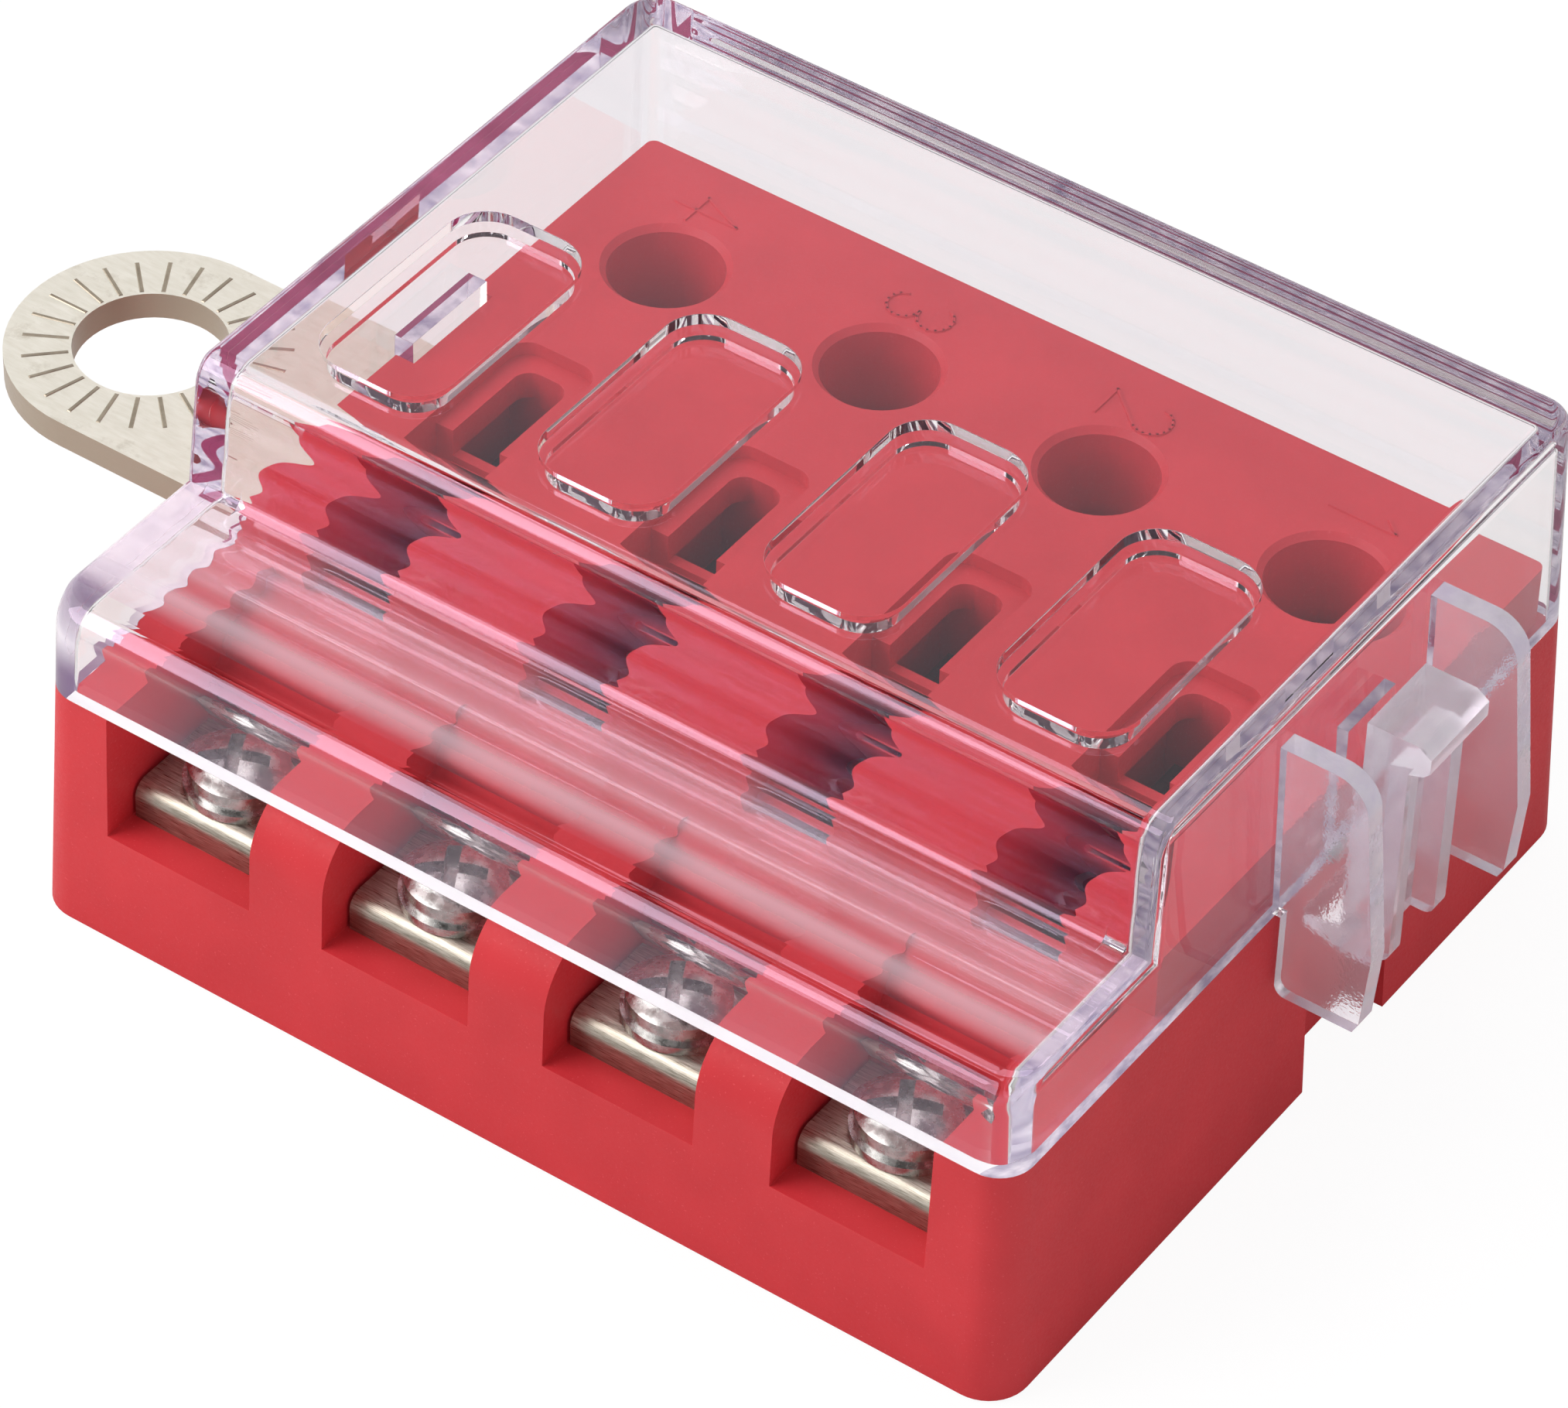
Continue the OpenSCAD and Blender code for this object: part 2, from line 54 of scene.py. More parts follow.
# view of the photograph, taken to be 2027 x 1820 pixels
VIEW_AZIMUTH = radians(34.06)
VIEW_ELEVATION = radians(42.59)
VIEW_ROLL = radians(1.83)
VIEW_TARGET = Vector((0.06, -3.05, 15.0)) * MM
VIEW_DISTANCE = 460.3 * MM
VIEW_LENS = 174.23
SENSOR_WIDTH = 36.0


def corners(node):
    """Lowest and highest corner of a CAD node, in millimetres."""
    low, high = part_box(node)
    return low / MM, high / MM


def driver_hole(number):
    """Middle of a circuit's driver hole, above its bus screw, in millimetres."""
    low, high = corners(f"bus_screw_{number}")
    return ((low + high) / 2).xy


# places on the base and the tab, in millimetres
DECK_H = corners("base")[1].z
DECK_FRONT = -14.4
BAY_EDGES_BACK = DECK_FRONT - 0.5
BAY_EDGES_LOW = 7.0
TAB_TOP = corners("bus_bar")[1].z
STUD = next(Vector(mount["pos_m"]) / MM for mount in frame["record"]["mounts"]
            if mount["name"] == "stud_hole")
HOLES = {number: driver_hole(number) for number in CIRCUITS}
HOLE_REACH = 5.0

# places on the cover, in millimetres
COVER_LOW, COVER_HIGH = corners("cover")
COVER_WALL = 1.9
RIM_H = 17.6
RIM_X = -COVER_LOW.x
RIM_BACK = COVER_HIGH.y
RIM_LINE = 0.6
LOW_H = 24.3
TOP_H = COVER_HIGH.z
PAD_SHIFT = -1.0
PAD_Y = -2.4
PAD_REACH = Vector((5.0, 9.2))
LATCH_Y = 5.5
LEVER_X = 37.13
LEVER_W = 6.4
FIN_ROOT = 0.4
FIN_Y = 8.2
FIN_T = 1.5
STEP_BACK_Y = DECK_FRONT + 1.0
PADS_LOW = TOP_H - 1.0
FOOT_GAP = 0.03
FOOT_CUT = 0.2

# how near a face lies to a level or a place that it is counted with, in millimetres
LEVEL = 0.05
NEAR = 0.1
# the least part of a normal along an axis that its face looks along
FACING = 0.9

# painted highlight bands on the lower plate, drawn in milky white, in millimetres and in shares of milky
# white
RIPPLE_FRONT = -27.8
HIGHLIGHT_FRONT = -25.5
HIGHLIGHT_REACH = 2.5
HIGHLIGHT_PITCH = 2.6
HIGHLIGHT_SHARE = 0.2
HIGHLIGHT_SWING = 0.17
HIGHLIGHT_FADE = (-20.5, -17.5)
HIGHLIGHT_LEFT = 0.25
# where the left foot's painted shade fades out, in millimetres
FRONT_FADE = (-27.5, -21.0)


# node trees

def new_material(name):
    """An empty material with its output and one Principled shader."""
    material = bpy.data.materials.new(name)
    material.use_nodes = True
    tree = material.node_tree
    tree.nodes.clear()
    output = tree.nodes.new("ShaderNodeOutputMaterial")
    shader = tree.nodes.new("ShaderNodeBsdfPrincipled")
    tree.links.new(shader.outputs["BSDF"], output.inputs["Surface"])
    return material, tree, shader, output


def feed(tree, socket, value):
    """Give a socket a number, a colour or what another socket sends."""
    if isinstance(value, tuple):
        socket.default_value = (*value, 1.0)
    elif isinstance(value, (int, float)):
        socket.default_value = value
    else:
        tree.links.new(value, socket)


def noise(tree, scale, detail=4.0, roughness=0.55, stretch=(1, 1, 1)):
    """Noise on object coordinates, with scale in cycles a metre."""
    coords = tree.nodes.new("ShaderNodeTexCoord")
    mapping = tree.nodes.new("ShaderNodeMapping")
    mapping.inputs["Scale"].default_value = stretch
    texture = tree.nodes.new("ShaderNodeTexNoise")
    texture.inputs["Scale"].default_value = scale
    texture.inputs["Detail"].default_value = detail
    texture.inputs["Roughness"].default_value = roughness
    tree.links.new(coords.outputs["Object"], mapping.inputs["Vector"])
    tree.links.new(mapping.outputs["Vector"], texture.inputs["Vector"])
    return texture.outputs["Fac"]


def ramp(tree, value, *stops):
    """A colour ramp of (position, colour) stops."""
    node = tree.nodes.new("ShaderNodeValToRGB")
    for element, (position, colour) in zip(node.color_ramp.elements, stops):
        element.position = position
        element.color = (*colour, 1.0)
    tree.links.new(value, node.inputs["Fac"])
    return node.outputs["Color"]


def map_range(tree, value, start, end, low, high, soft):
    """A change from low to high with value, straight or soft at its ends."""
    node = tree.nodes.new("ShaderNodeMapRange")
    node.interpolation_type = "SMOOTHSTEP" if soft else "LINEAR"
    for name, number in (("From Min", start), ("From Max", end), ("To Min", low), ("To Max", high)):
        node.inputs[name].default_value = number
    tree.links.new(value, node.inputs["Value"])
    return node.outputs["Result"]


def spread(tree, value, low, high):
    """Noise, which stays near 0.5, spread over low to high."""
    return map_range(tree, value, 0.3, 0.7, low, high, soft=False)


def rise(tree, value, start, end, low=0.0, high=1.0):
    """A soft change from low to high while value goes from start to end."""
    return map_range(tree, value, start, end, low, high, soft=True)


def calc(tree, operation, *values):
    """One step of arithmetic on numbers and sockets."""
    node = tree.nodes.new("ShaderNodeMath")
    node.operation = operation
    for socket, value in zip(node.inputs, values):
        feed(tree, socket, value)
    return node.outputs["Value"]


def blend(tree, factor, first, second):
    """Two colours mixed by a factor: a Mix node has its colours in inputs 6 and 7 and output 2."""
    node = tree.nodes.new("ShaderNodeMix")
    node.data_type = "RGBA"
    tree.links.new(factor, node.inputs["Factor"])
    feed(tree, node.inputs[6], first)
    feed(tree, node.inputs[7], second)
    return node.outputs[2]


def pick(tree, factor, first, second):
    """One of two numbers, by a factor of 0 or 1: a Mix node has them in inputs 2 and 3 and output 0."""
    node = tree.nodes.new("ShaderNodeMix")
    tree.links.new(factor, node.inputs["Factor"])
    feed(tree, node.inputs[2], first)
    feed(tree, node.inputs[3], second)
    return node.outputs[0]


def mix_shaders(tree, factor, first, second, output):
    """Two shaders mixed by a factor, as a material's surface."""
    node = tree.nodes.new("ShaderNodeMixShader")
    tree.links.new(factor, node.inputs["Fac"])
    tree.links.new(first, node.inputs[1])
    tree.links.new(second, node.inputs[2])
    tree.links.new(node.outputs["Shader"], output.inputs["Surface"])


def part_of(tree, vector, axis):
    """The X, Y or Z part of a vector."""
    split = tree.nodes.new("ShaderNodeSeparateXYZ")
    tree.links.new(vector, split.inputs["Vector"])
    return split.outputs[axis]


def object_place(tree, axis):
    """The X, Y or Z coordinate of a point in the CAD frame, in metres."""
    return part_of(tree, tree.nodes.new("ShaderNodeTexCoord").outputs["Object"], axis)


def bump(tree, shader, height, strength, distance):
    node = tree.nodes.new("ShaderNodeBump")
    node.inputs["Strength"].default_value = strength
    node.inputs["Distance"].default_value = distance
    tree.links.new(height, node.inputs["Height"])
    tree.links.new(node.outputs["Normal"], shader.inputs["Normal"])


# materials

BLACK = (0.0, 0.0, 0.0)
CLEAR_IOR, MILKY_IOR = 1.57, 1.5
CLEAR_ROUGHNESS = 0.003
CLEAR_SHADOW, MILKY_SHADOW = (0.82, 0.80, 0.84), (0.8, 0.79, 0.81)


def red_plastic():
    """Moulded red plastic with a fine spark-eroded grain and pale specks."""
    material, tree, shader, _ = new_material("red_plastic")
    cloud = noise(tree, 140, detail=2)
    colour = ramp(tree, cloud, (0.3, (0.55, 0.024, 0.032)), (0.7, (0.62, 0.030, 0.039)))
    fine = noise(tree, 6500, detail=1, roughness=0.5)
    speck = ramp(tree, fine, (0.68, BLACK), (0.76, (0.3, 0.3, 0.3)))
    tree.links.new(blend(tree, speck, colour, (0.80, 0.15, 0.16)), shader.inputs["Base Color"])
    grain = noise(tree, 4200, detail=2, roughness=0.7)
    tree.links.new(spread(tree, grain, 0.42, 0.56), shader.inputs["Roughness"])
    shader.inputs["Specular IOR Level"].default_value = 0.32
    bump(tree, shader, grain, strength=0.3, distance=0.03 * MM)
    return material


def upright_share(tree):
    """1 on upright faces, 0 on level ones."""
    normal = tree.nodes.new("ShaderNodeNewGeometry").outputs["True Normal"]
    return calc(tree, "LESS_THAN", calc(tree, "ABSOLUTE", part_of(tree, normal, "Z")), 0.5)


def plated(name, dark, light, rough, streak=(1, 1, 1), scale=900, depth=0.01, metal=1.0,
           stain=None, cut=None, painted_shade_under_deck=None):
    """Plated metal with rolled streaks of a depth in millimetres.

    It has brown stains, darker cut edges and painted shade that darkens the sheet under the deck, where their
    colours are given.
    """
    material, tree, shader, _ = new_material(name)
    shader.inputs["Metallic"].default_value = metal
    streaks = noise(tree, scale, detail=6, roughness=0.65, stretch=streak)
    colour = ramp(tree, streaks, (0.3, dark), (0.7, light))
    if stain:
        cloud = noise(tree, 420, detail=6, roughness=0.7)
        patches = ramp(tree, cloud, (0.58, BLACK), (0.78, (0.7, 0.7, 0.7)))
        colour = blend(tree, patches, colour, stain)
    if cut:
        colour = blend(tree, upright_share(tree), colour, cut)
    # painted shade: the sheet turns dark under the deck, where it lies in shadow
    if painted_shade_under_deck:
        deck_shade_mask = rise(tree, object_place(tree, "Y"), (DECK_FRONT - 2) * MM, DECK_FRONT * MM)
        colour = blend(tree, deck_shade_mask, colour, painted_shade_under_deck)
    tree.links.new(colour, shader.inputs["Base Color"])
    tree.links.new(spread(tree, streaks, *rough), shader.inputs["Roughness"])
    bump(tree, shader, streaks, strength=0.3, distance=depth * MM)
    return material


def let_lamps_through(tree, shader, output, tint):
    """Plastic that casts only a faint shadow."""
    through = tree.nodes.new("ShaderNodeBsdfTransparent")
    through.inputs["Color"].default_value = (*tint, 1.0)
    shadow = tree.nodes.new("ShaderNodeLightPath").outputs["Is Shadow Ray"]
    mix_shaders(tree, shadow, shader.outputs["BSDF"], through.outputs["BSDF"], output)


def ripples(tree, wavelength):
    """Shallow waves along the cover's width, counted over its lower plate and up its step."""
    way = calc(tree, "ADD", object_place(tree, "Y"), object_place(tree, "Z"))
    total = 0.0
    for part, weight in ((1.0, 1.0), (0.43, 0.07)):
        wave = calc(tree, "SINE", calc(tree, "MULTIPLY", way, 2 * pi / (wavelength * part)))
        total = calc(tree, "MULTIPLY_ADD", wave, weight, total)
    return total


def painted_highlight_bands(tree):
    """Share of milky white on the lower plate, a painted highlight: a pale band in front, then fainter ones
    towards the step.
    """
    y = object_place(tree, "Y")
    behind = calc(tree, "MAXIMUM", calc(tree, "SUBTRACT", y, HIGHLIGHT_FRONT * MM), 0.0)
    fade = calc(tree, "EXPONENT", calc(tree, "MULTIPLY", behind, -1 / (HIGHLIGHT_REACH * MM)))
    wave = calc(tree, "COSINE", calc(tree, "MULTIPLY", behind, 2 * pi / (HIGHLIGHT_PITCH * MM)))
    bands = calc(tree, "MULTIPLY_ADD", calc(tree, "MULTIPLY", fade, wave), HIGHLIGHT_SWING, HIGHLIGHT_SHARE)
    front = rise(tree, y, RIPPLE_FRONT * MM, HIGHLIGHT_FRONT * MM)
    back = rise(tree, y, HIGHLIGHT_FADE[0] * MM, HIGHLIGHT_FADE[1] * MM, 1.0, HIGHLIGHT_LEFT)
    return calc(tree, "MULTIPLY", bands, calc(tree, "MULTIPLY", front, back))


def clear_plastic(name, tint, sheen, ripple=None, painted_bands=False, milk=0.0):
    """Clear plastic with slow waves, or with ripples of a wavelength and a height in millimetres."""
    material, tree, shader, output = new_material(name)
    shader.inputs["Base Color"].default_value = (*tint, 1.0)
    shader.inputs["Specular Tint"].default_value = (*sheen, 1.0)
    shader.inputs["Roughness"].default_value = CLEAR_ROUGHNESS
    shader.inputs["IOR"].default_value = CLEAR_IOR
    shader.inputs["Transmission Weight"].default_value = 1.0 - milk
    # painted highlight: bands of milky white take the place of part of the transmission
    if painted_bands:
        tree.links.new(calc(tree, "SUBTRACT", 1.0, painted_highlight_bands(tree)), shader.inputs["Transmission Weight"])
    if ripple:
        wavelength, height = ripple
        bump(tree, shader, ripples(tree, wavelength * MM), strength=1.0, distance=height * MM)
    else:
        bump(tree, shader, noise(tree, 55, detail=1, roughness=0.5), strength=0.12, distance=0.25 * MM)
    let_lamps_through(tree, shader, output, CLEAR_SHADOW)
    return material


def milky_plastic(name, milk, rough, dark, light, scale, front=None):
    """Plastic with a matt, milky face: part glass, part white, with another colour at the part's front; on
    the cover's foot these colours are painted light and shade.
    """
    material, tree, shader, output = new_material(name)
    colour = ramp(tree, noise(tree, scale, detail=3, roughness=0.6), (0.32, dark), (0.68, light))
    if front:
        behind = rise(tree, object_place(tree, "Y"), FRONT_FADE[0] * MM, FRONT_FADE[1] * MM)
        colour = blend(tree, behind, front, colour)
    tree.links.new(colour, shader.inputs["Base Color"])
    shader.inputs["Roughness"].default_value = rough
    shader.inputs["IOR"].default_value = MILKY_IOR
    shader.inputs["Transmission Weight"].default_value = 1.0 - milk
    bump(tree, shader, noise(tree, 2600, detail=2, roughness=0.6), strength=0.25, distance=0.05 * MM)
    let_lamps_through(tree, shader, output, MILKY_SHADOW)
    return material


def rim_shade():
    """Painted shade at the foot of the cover's walls: a dark maroon for the red base seen in shade through
    the plastic.
    """
    material, tree, shader, _ = new_material("rim_shade")
    colour = ramp(tree, noise(tree, 300), (0.3, (0.24, 0.03, 0.09)), (0.7, (0.38, 0.08, 0.17)))
    tree.links.new(colour, shader.inputs["Base Color"])
    shader.inputs["Roughness"].default_value = 0.8
    shader.inputs["Specular IOR Level"].default_value = 0.0
    return material


RED = red_plastic()
TAB_METAL = plated("tab_plating", (0.90, 0.85, 0.73), (0.98, 0.94, 0.84), (0.30, 0.42), streak=(1, 5, 5),
                   scale=700, metal=0.5, stain=(0.60, 0.53, 0.42), cut=(0.42, 0.34, 0.26))
# the stamped ridges are darker than the tab: painted shade of the stamped grooves
GROOVE_SHADE_METAL = plated("stamped_lines", (0.36, 0.30, 0.23), (0.50, 0.43, 0.34), (0.4, 0.5))
# the terminal sheet is painted dark under the deck as shade
CLIP_METAL = plated("terminal_plating", (0.20, 0.17, 0.13), (0.58, 0.53, 0.46), (0.24, 0.44),
                    streak=(0.5, 9, 9), scale=1400, depth=0.02, painted_shade_under_deck=(0.07, 0.05, 0.045))
SCREW_METAL = plated("screw_plating", (0.30, 0.29, 0.28), (0.68, 0.67, 0.66), (0.16, 0.36),
                     scale=1300, depth=0.04)
CLEAR_TINT, CLEAR_SHEEN = (0.985, 0.965, 0.985), (0.95, 0.74, 0.98)
STEP_TINT, STEP_SHEEN = (0.95, 0.94, 0.96), (0.35, 0.2, 0.42)
CLEAR = clear_plastic("clear_cover", CLEAR_TINT, CLEAR_SHEEN)
# the lower plate's lilac-grey tint darkens the shelf seen through it as painted shade, and its milky bands
# are a painted highlight
PLATE_RIPPLES_AND_PAINTED_LIGHT = clear_plastic("rippled_plate_painted_light", (0.88, 0.76, 0.84), CLEAR_SHEEN, ripple=(2.35, 0.03),
                              painted_bands=True)
STEP_RIPPLES = clear_plastic("rippled_step", STEP_TINT, STEP_SHEEN, ripple=(4.6, 0.12))
STEP_BACK = clear_plastic("step_back", STEP_TINT, STEP_SHEEN)
TOP_PLATE = clear_plastic("top_plate", (0.985, 0.93, 0.99), CLEAR_SHEEN, milk=0.025)
FROSTED = milky_plastic("frosted_lever", 0.14, 0.26, (0.86, 0.80, 0.86), (0.96, 0.93, 0.97), 900)
FIN_EDGE = milky_plastic("fin_edge", 0.3, 0.14, (0.86, 0.80, 0.92), (1.0, 0.98, 1.0), 500)
FIN_FACE = milky_plastic("fin_face", 0.09, 0.08, (0.88, 0.84, 0.89), (0.97, 0.95, 0.98), 260)
# the foot's pale, mottled faces are painted light: they stand for the light that the clear walls carry down
# to their lower edges
FOOT_PAINTED_LIGHT = milky_plastic("foot_painted_light", 0.9, 0.6, (0.30, 0.27, 0.42), (0.92, 0.89, 0.95), 560)
# the left foot is painted dark purple at its front as shade, fading out behind
LEFT_FOOT_PAINTED_LIGHT_AND_SHADE = milky_plastic("left_foot_painted_light_and_shade", 0.9, 0.6, (0.80, 0.77, 0.84), (0.97, 0.95, 0.97), 400,
                          front=(0.16, 0.09, 0.20))
FRONT_FOOT_PAINTED_LIGHT = milky_plastic("front_foot_painted_light", 1.0, 0.7, (0.96, 0.96, 0.97), (1.0, 1.0, 1.0), 300)
RIM_SHADE = rim_shade()
COVER_MATERIALS = (CLEAR, FROSTED, FOOT_PAINTED_LIGHT, FIN_EDGE, PLATE_RIPPLES_AND_PAINTED_LIGHT, STEP_RIPPLES, RIM_SHADE, FIN_FACE,
                   LEFT_FOOT_PAINTED_LIGHT_AND_SHADE, FRONT_FOOT_PAINTED_LIGHT, STEP_BACK, TOP_PLATE)


# moulded pieces

CREASE = radians(35)
FLAT = radians(0.4)
WELD = 0.002 * MM
BEVEL_STEPS = 3
BASE_ROUND, COVER_ROUND = 0.6, 0.55
PLAIN_SHARE = 0.3


def weighted_copy(node, name, share):
    """A CAD solid's mesh with plain faces, and with each sharp edge's part of the rounding, by its middle."""
    mesh = NODES[node].data.copy()
    mesh.name = name
    for layer in list(mesh.uv_layers):
        mesh.uv_layers.remove(layer)
    custom = mesh.attributes.get("custom_normal")
    if custom:
        mesh.attributes.remove(custom)
    shape = bmesh.new()
    shape.from_mesh(mesh)
    bmesh.ops.remove_doubles(shape, verts=shape.verts, dist=WELD)
    bmesh.ops.dissolve_limit(shape, angle_limit=FLAT, verts=shape.verts, edges=shape.edges)
    weight = shape.edges.layers.float.new("bevel_weight_edge")
    for edge in shape.edges:
        if len(edge.link_faces) == 2 and edge.calc_face_angle() > CREASE:
            edge[weight] = share((edge.verts[0].co + edge.verts[1].co) / 2 / MM)
    shape.to_mesh(mesh)
    shape.free()
    return mesh


def moulded(node, name, radius, share):
    """A copy of a CAD solid with small round edges, which stands for it."""
    piece = bpy.data.objects.new(name, weighted_copy(node, name, share))
    bpy.context.scene.collection.objects.link(piece)
    edges = piece.modifiers.new("round_edges", "BEVEL")
    edges.width = radius * MM
    edges.segments = BEVEL_STEPS
    edges.limit_method = "WEIGHT"
    edges.use_clamp_overlap = True
    edges.miter_outer = "MITER_ARC"
    bpy.context.view_layer.update()
    rounded = piece.evaluated_get(bpy.context.evaluated_depsgraph_get())
    mesh = bpy.data.meshes.new_from_object(rounded)
    piece.modifiers.clear()
    piece.data = mesh
    mesh.name = name
    for face in mesh.polygons:
        face.use_smooth = True
    mesh.set_sharp_from_angle(angle=CREASE)
    piece.modifiers.new("flat_faces", "WEIGHTED_NORMAL").keep_sharp = True
    mesh.materials.clear()
    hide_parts(node)
    return piece


def base_edge(middle):
    """The edges around the terminal bays are rounder than the rest; the driver holes stay sharp."""
    if any((middle.xy - hole).length < HOLE_REACH for hole in HOLES.values()):
        return 0.0
    return 1.0 if middle.y < BAY_EDGES_BACK and middle.z > BAY_EDGES_LOW else PLAIN_SHARE


def base_moulding():
    piece = moulded("base", "base_moulding", BASE_ROUND, base_edge)
    piece.data.materials.append(RED)
    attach(piece, "housing")


def cover_edge(middle):
    """The upper edges of the sunken pads are rounder than the rest."""
    beside_pad = any(abs(middle.x - hole.x - PAD_SHIFT) < PAD_REACH.x for hole in HOLES.values())
    on_pad = beside_pad and abs(middle.y - PAD_Y) < PAD_REACH.y
    return 1.0 if on_pad and abs(middle.z - TOP_H) < LEVEL else PLAIN_SHARE


def on_rim(face):
    """Whether a face of the cover stands on the base's outer wall."""
    return abs(face.calc_center_median().z / MM - RIM_H) < LEVEL and face.normal.z < -FACING


def on_low_plate(face):
    return abs(face.calc_center_median().z / MM - LOW_H) < LEVEL and face.normal.z > FACING


def rim_face(x, y):
    """The material of the cover's foot, painted with the light and shade that show through the walls as their
    lines of colour.
    """
    if x > RIM_X - COVER_WALL - NEAR:
        return FOOT_PAINTED_LIGHT
    if y > DECK_FRONT:
        return RIM_SHADE if x < -RIM_X + RIM_LINE or y > RIM_BACK - RIM_LINE else FOOT_PAINTED_LIGHT
    return LEFT_FOOT_PAINTED_LIGHT_AND_SHADE if x < -RIM_X + COVER_WALL + NEAR else FRONT_FOOT_PAINTED_LIGHT


def cover_face(face):
    """The material of a face of the cover."""
    x, y, z = face.calc_center_median() / MM
    if on_low_plate(face) and y > RIPPLE_FRONT:
        return PLATE_RIPPLES_AND_PAINTED_LIGHT
    if face.normal.y < -FACING and LOW_H < z < TOP_H and y > RIPPLE_FRONT and abs(x) < RIM_X:
        return STEP_RIPPLES
    if face.normal.y > FACING and z > LOW_H - COVER_WALL and y < STEP_BACK_Y:
        return STEP_BACK
    if face.normal.z > FACING and z > PADS_LOW:
        return TOP_PLATE
    if x > LEVER_X - NEAR and abs(y - LATCH_Y) < LEVER_W / 2 + NEAR:
        return FROSTED
    if on_rim(face):
        return rim_face(x, y)
    if x > RIM_X + FIN_ROOT and abs(abs(y - LATCH_Y) - FIN_Y) < FIN_T / 2 + NEAR:
        return FIN_EDGE if abs(face.normal.y) < 0.5 else FIN_FACE
    return CLEAR


def cut_faces(shape, chosen, point, normal):
    """Cut the chosen faces along a plane through a point in millimetres."""
    faces = [face for face in shape.faces if chosen(face)]
    edges = list({edge for face in faces for edge in face.edges})
    verts = list({vert for face in faces for vert in face.verts})
    bmesh.ops.bisect_plane(shape, geom=faces + edges + verts, plane_co=Vector(point) * MM, plane_no=normal)


def cover_moulding():
    """The clear cover with its frosted lever, pale fin edges and a foot painted with the light and shade seen
    along the walls' lower edges, a hair above the base.
    """
    piece = moulded("cover", "cover_moulding", COVER_ROUND, cover_edge)
    for material in COVER_MATERIALS:
        piece.data.materials.append(material)
    shape = bmesh.new()
    shape.from_mesh(piece.data)
    inner = RIM_X - COVER_WALL - FOOT_CUT
    along_x, along_y = (1, 0, 0), (0, 1, 0)
    cut_faces(shape, on_rim, (inner, 0, 0), along_x)
    cut_faces(shape, on_rim, (-inner, 0, 0), along_x)
    cut_faces(shape, on_rim, (0, DECK_FRONT, 0), along_y)
    cut_faces(shape, on_low_plate, (0, RIPPLE_FRONT, 0), along_y)
    cut_faces(shape, on_rim, (-RIM_X + RIM_LINE, 0, 0), along_x)
    cut_faces(shape, on_rim, (0, RIM_BACK - RIM_LINE, 0), along_y)
    for face in shape.faces:
        face.material_index = COVER_MATERIALS.index(cover_face(face))
    for vert in {vert for face in shape.faces if on_rim(face) for vert in face.verts}:
        vert.co.z += FOOT_GAP * MM
    shape.to_mesh(piece.data)
    shape.free()
    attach(piece, "lid")


# small raised work, in millimetres

BAR_TOP_SHARE = 0.55
LINE_COUNT, LINE_WIDTH = 24, 0.34
LINE_START, LINE_END = 5.45, 8.2
LINE_SINK, LINE_RISE = 0.02, 0.05
STROKE_WIDTH, STROKE_SINK, STROKE_RISE = 0.26, 0.05, 0.12
NUMBER_BACK, NUMBER_FOOT = 25.6, -3.3


def mesh_piece(name, shape, material, body):
    mesh = bpy.data.meshes.new(name)
    shape.to_mesh(mesh)
    shape.free()
    mesh.materials.append(material)
    piece = bpy.data.objects.new(name, mesh)
    bpy.context.scene.collection.objects.link(piece)
    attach(piece, body)


def add_bar(shape, start, end, width, low, high):
    """A low bar with leaning sides between two points, in millimetres."""
    start, end = Vector(start), Vector(end)
    ahead = (end - start).normalized()
    aside = Vector((-ahead.y, ahead.x))
    rings = []
    for z, grow in ((low, 1.0), (high, BAR_TOP_SHARE)):
        half = width / 2 * grow
        outline = (start - ahead * half - aside * half, end + ahead * half - aside * half,
                   end + ahead * half + aside * half, start - ahead * half + aside * half)
        rings.append([shape.verts.new(Vector((c.x, c.y, z)) * MM) for c in outline])
    for i in range(4):
        j = (i + 1) % 4
        shape.faces.new((rings[0][i], rings[0][j], rings[1][j], rings[1][i]))
    shape.faces.new(rings[1])


def stamped_lines():
    """Short radial ridges around the stud hole."""
    shape = bmesh.new()
    for i in range(LINE_COUNT):
        a = 2 * pi * i / LINE_COUNT
        points = [(STUD.x + r * cos(a), STUD.y + r * sin(a)) for r in (LINE_START, LINE_END)]
        add_bar(shape, *points, LINE_WIDTH, TAB_TOP - LINE_SINK, TAB_TOP + LINE_RISE)
    mesh_piece("stamped_lines", shape, GROOVE_SHADE_METAL, "housing")


def arc(x, y, r, start, end, steps=10):
    angles = [radians(start + (end - start) * i / steps) for i in range(steps + 1)]
    return [(x + r * cos(a), y + r * sin(a)) for a in angles]


# stroke of each circuit number, in a box about 2.6 wide and 4.7 high
DIGITS = {
    1: [(0.4, 3.7), (1.3, 4.7), (1.3, 0.0)],
    2: arc(1.3, 3.4, 1.3, 170, -35) + [(0.0, 0.0), (2.6, 0.0)],
    3: arc(1.2, 3.5, 1.2, 160, -90) + arc(1.2, 1.15, 1.15, 90, -160),
    4: [(1.4, 0.0), (1.4, 4.7), (0.0, 1.6), (2.6, 1.6)],
}


def circuit_numbers():
    """Thin raised numbers behind the driver holes, their tops towards +X."""
    shape = bmesh.new()
    for number, stroke in DIGITS.items():
        points = [(HOLES[number].x + NUMBER_FOOT + v, NUMBER_BACK - u) for u, v in stroke]
        for start, end in zip(points, points[1:]):
            add_bar(shape, start, end, STROKE_WIDTH, DECK_H - STROKE_SINK, DECK_H + STROKE_RISE)
    mesh_piece("circuit_numbers", shape, RED, "housing")


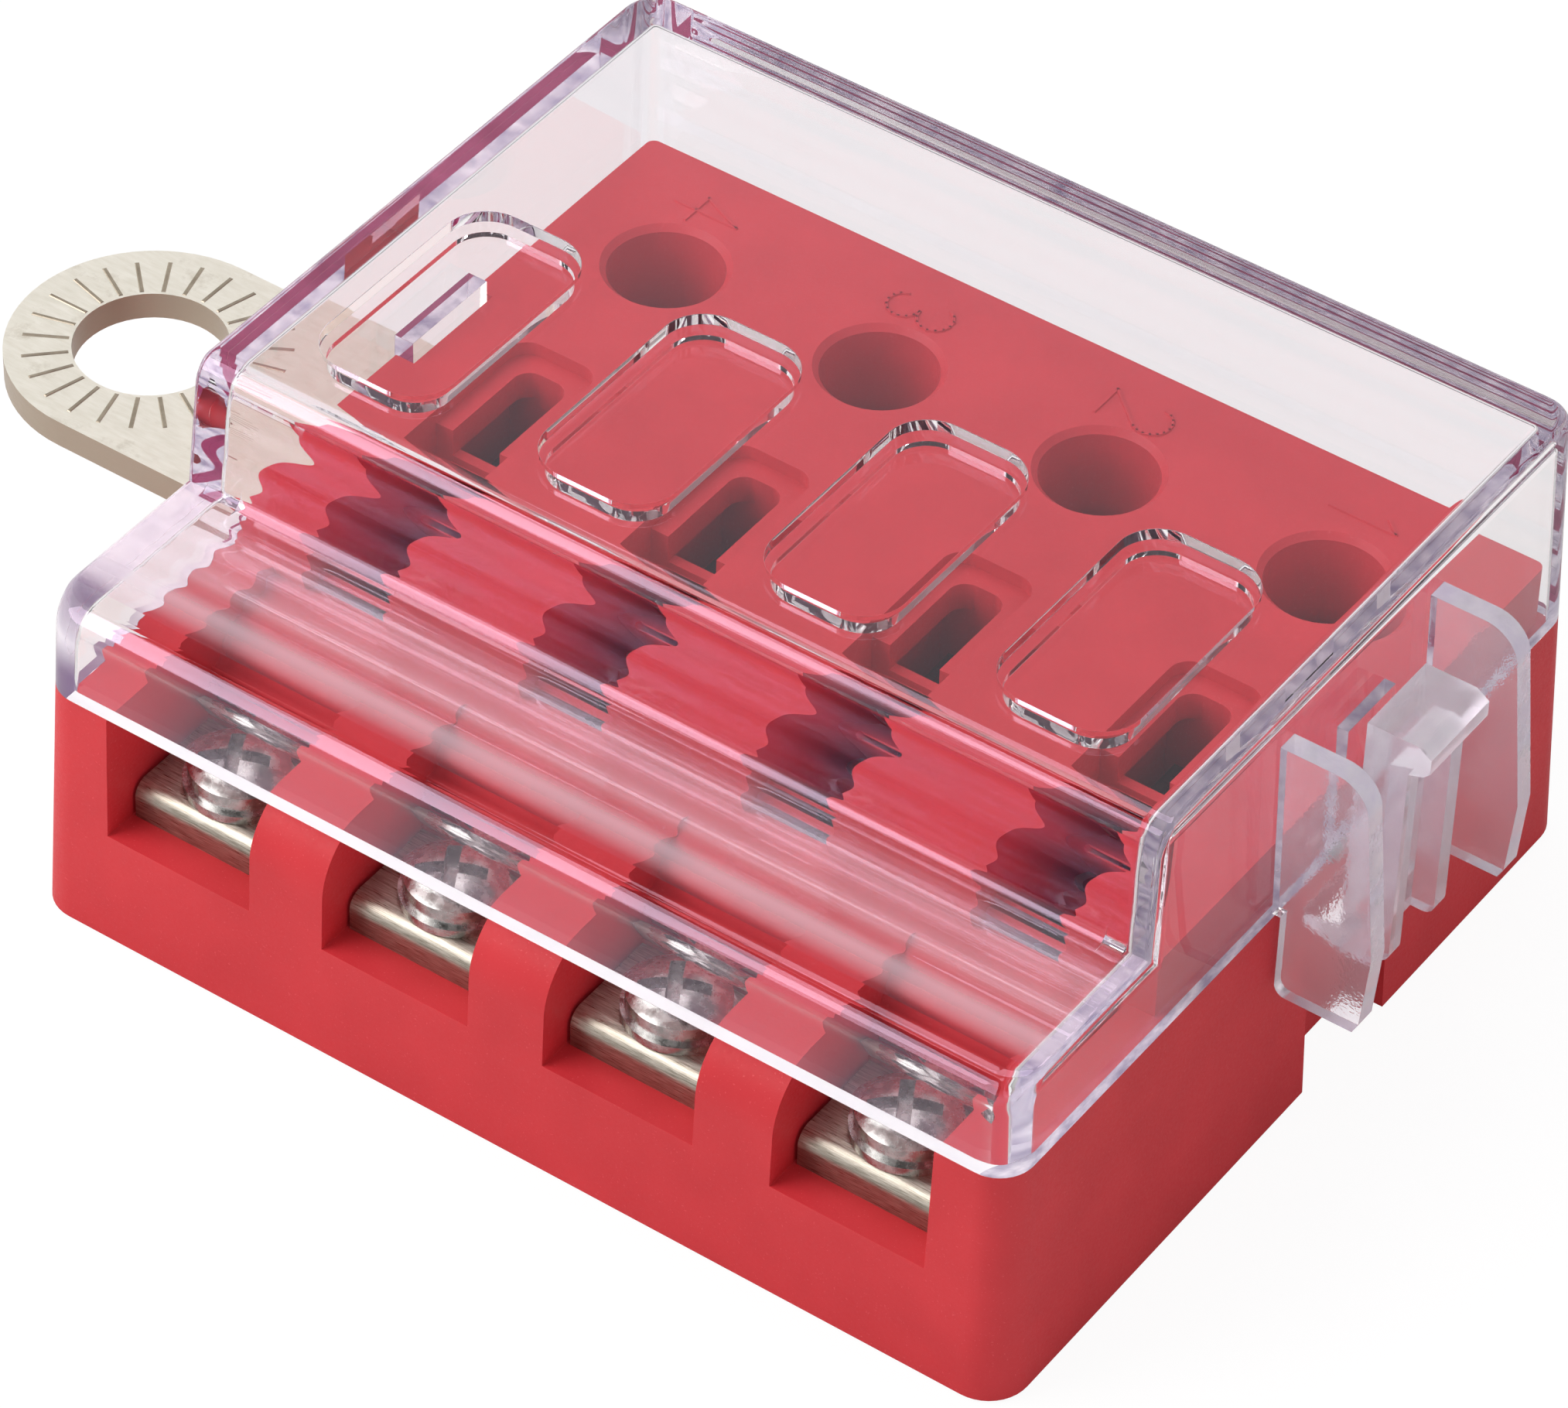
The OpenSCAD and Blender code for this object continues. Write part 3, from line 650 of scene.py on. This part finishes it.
def node_material(node):
    if node == "bus_bar":
        return TAB_METAL
    if node.startswith(("line_clip", "load_contact")):
        return CLIP_METAL
    if "screw" in node or "washer" in node:
        return SCREW_METAL
    return RED


base_moulding()
cover_moulding()
stamped_lines()
circuit_numbers()
for node, part in NODES.items():
    part.data.materials.clear()
    part.data.materials.append(node_material(node))


# stage

FLOOR_HALF, FLOOR_DROP = 3.0, 0.2 * MM


def by_ray(tree, lit, mirrored, seen):
    """One value as light on matt surfaces, one in reflections, and one seen straight or through glass."""
    path = tree.nodes.new("ShaderNodeLightPath")
    value = seen
    for depth, choice in (("Glossy Depth", mirrored), ("Diffuse Depth", lit)):
        value = pick(tree, calc(tree, "GREATER_THAN", path.outputs[depth], 0.5), value, choice)
    return value


def white_floor():
    """A floor that is white to the camera and keeps a soft shadow."""
    mesh = bpy.data.meshes.new("floor")
    outline = [(x * FLOOR_HALF, y * FLOOR_HALF, 0) for x, y in ((-1, -1), (1, -1), (1, 1), (-1, 1))]
    mesh.from_pydata(outline, [], [(0, 1, 2, 3)])
    floor = bpy.data.objects.new("floor", mesh)
    floor.location.z = -FLOOR_DROP
    bpy.context.scene.collection.objects.link(floor)
    material, tree, shader, output = new_material("floor_white")
    shader.inputs["Base Color"].default_value = (0.98, 0.98, 0.98, 1.0)
    shader.inputs["Roughness"].default_value = 0.9
    glow = tree.nodes.new("ShaderNodeEmission")
    tree.links.new(by_ray(tree, lit=0.0, mirrored=0.0, seen=1.03), glow.inputs["Strength"])
    share = by_ray(tree, lit=0.0, mirrored=0.3, seen=0.9)
    mix_shaders(tree, share, shader.outputs["BSDF"], glow.outputs["Emission"], output)
    mesh.materials.append(material)


def white_world(lit):
    """A studio that is white to the camera and, in plastic and metal, white low down and dark overhead."""
    world = bpy.data.worlds.new("studio")
    world.use_nodes = True
    tree = world.node_tree
    height = part_of(tree, tree.nodes.new("ShaderNodeTexCoord").outputs["Generated"], "Z")
    overhead = rise(tree, height, 0.42, 0.74, 1.0, 0.06)
    background = tree.nodes["Background"]
    tree.links.new(by_ray(tree, lit, mirrored=overhead, seen=1.0), background.inputs["Strength"])
    background.inputs["Color"].default_value = (1.0, 1.0, 1.0, 1.0)
    bpy.context.scene.world = world


def way_out(azimuth, elevation):
    """The direction from the object to a viewer: azimuth 0 is in front and grows towards +X."""
    return Vector((sin(azimuth) * cos(elevation), -cos(azimuth) * cos(elevation), sin(elevation)))


def soft_lamp(name, azimuth, elevation, distance, size, watts):
    """A rectangular lamp that looks at the object, with its angles in degrees."""
    light = bpy.data.lights.new(name, "AREA")
    light.shape = "RECTANGLE"
    light.size, light.size_y = size
    light.energy = watts
    lamp = bpy.data.objects.new(name, light)
    out = way_out(radians(azimuth), radians(elevation))
    lamp.location = VIEW_TARGET + out * distance
    lamp.rotation_euler = out.to_track_quat("Z", "Y").to_euler()
    bpy.context.scene.collection.objects.link(lamp)


def photo_camera():
    data = bpy.data.cameras.new("camera")
    data.sensor_fit = "HORIZONTAL"
    data.sensor_width = SENSOR_WIDTH
    data.lens = VIEW_LENS
    data.clip_start = 0.01
    camera = bpy.data.objects.new("camera", data)
    out = way_out(VIEW_AZIMUTH, VIEW_ELEVATION)
    right = Vector((cos(VIEW_AZIMUTH), sin(VIEW_AZIMUTH), 0.0))
    up = out.cross(right)
    turn = Matrix((right, up, out)).transposed().to_4x4() @ Matrix.Rotation(VIEW_ROLL, 4, "Z")
    camera.matrix_world = Matrix.Translation(VIEW_TARGET + out * VIEW_DISTANCE) @ turn
    bpy.context.scene.collection.objects.link(camera)
    bpy.context.scene.camera = camera


white_floor()
white_world(lit=0.35)
soft_lamp("key", -48, 40, 0.58, (0.4, 0.4), watts=2.5)
soft_lamp("fill", 80, 30, 0.9, (0.4, 0.6), watts=1.1)
soft_lamp("back", -150, 68, 0.9, (0.4, 0.4), watts=1.5)
photo_camera()
scene = bpy.context.scene
scene.view_settings.view_transform = "Standard"
# light runs a long way inside the clear walls
scene.cycles.max_bounces = 20
scene.cycles.glossy_bounces = 12
scene.cycles.transmission_bounces = 18
scene.cycles.transparent_max_bounces = 16
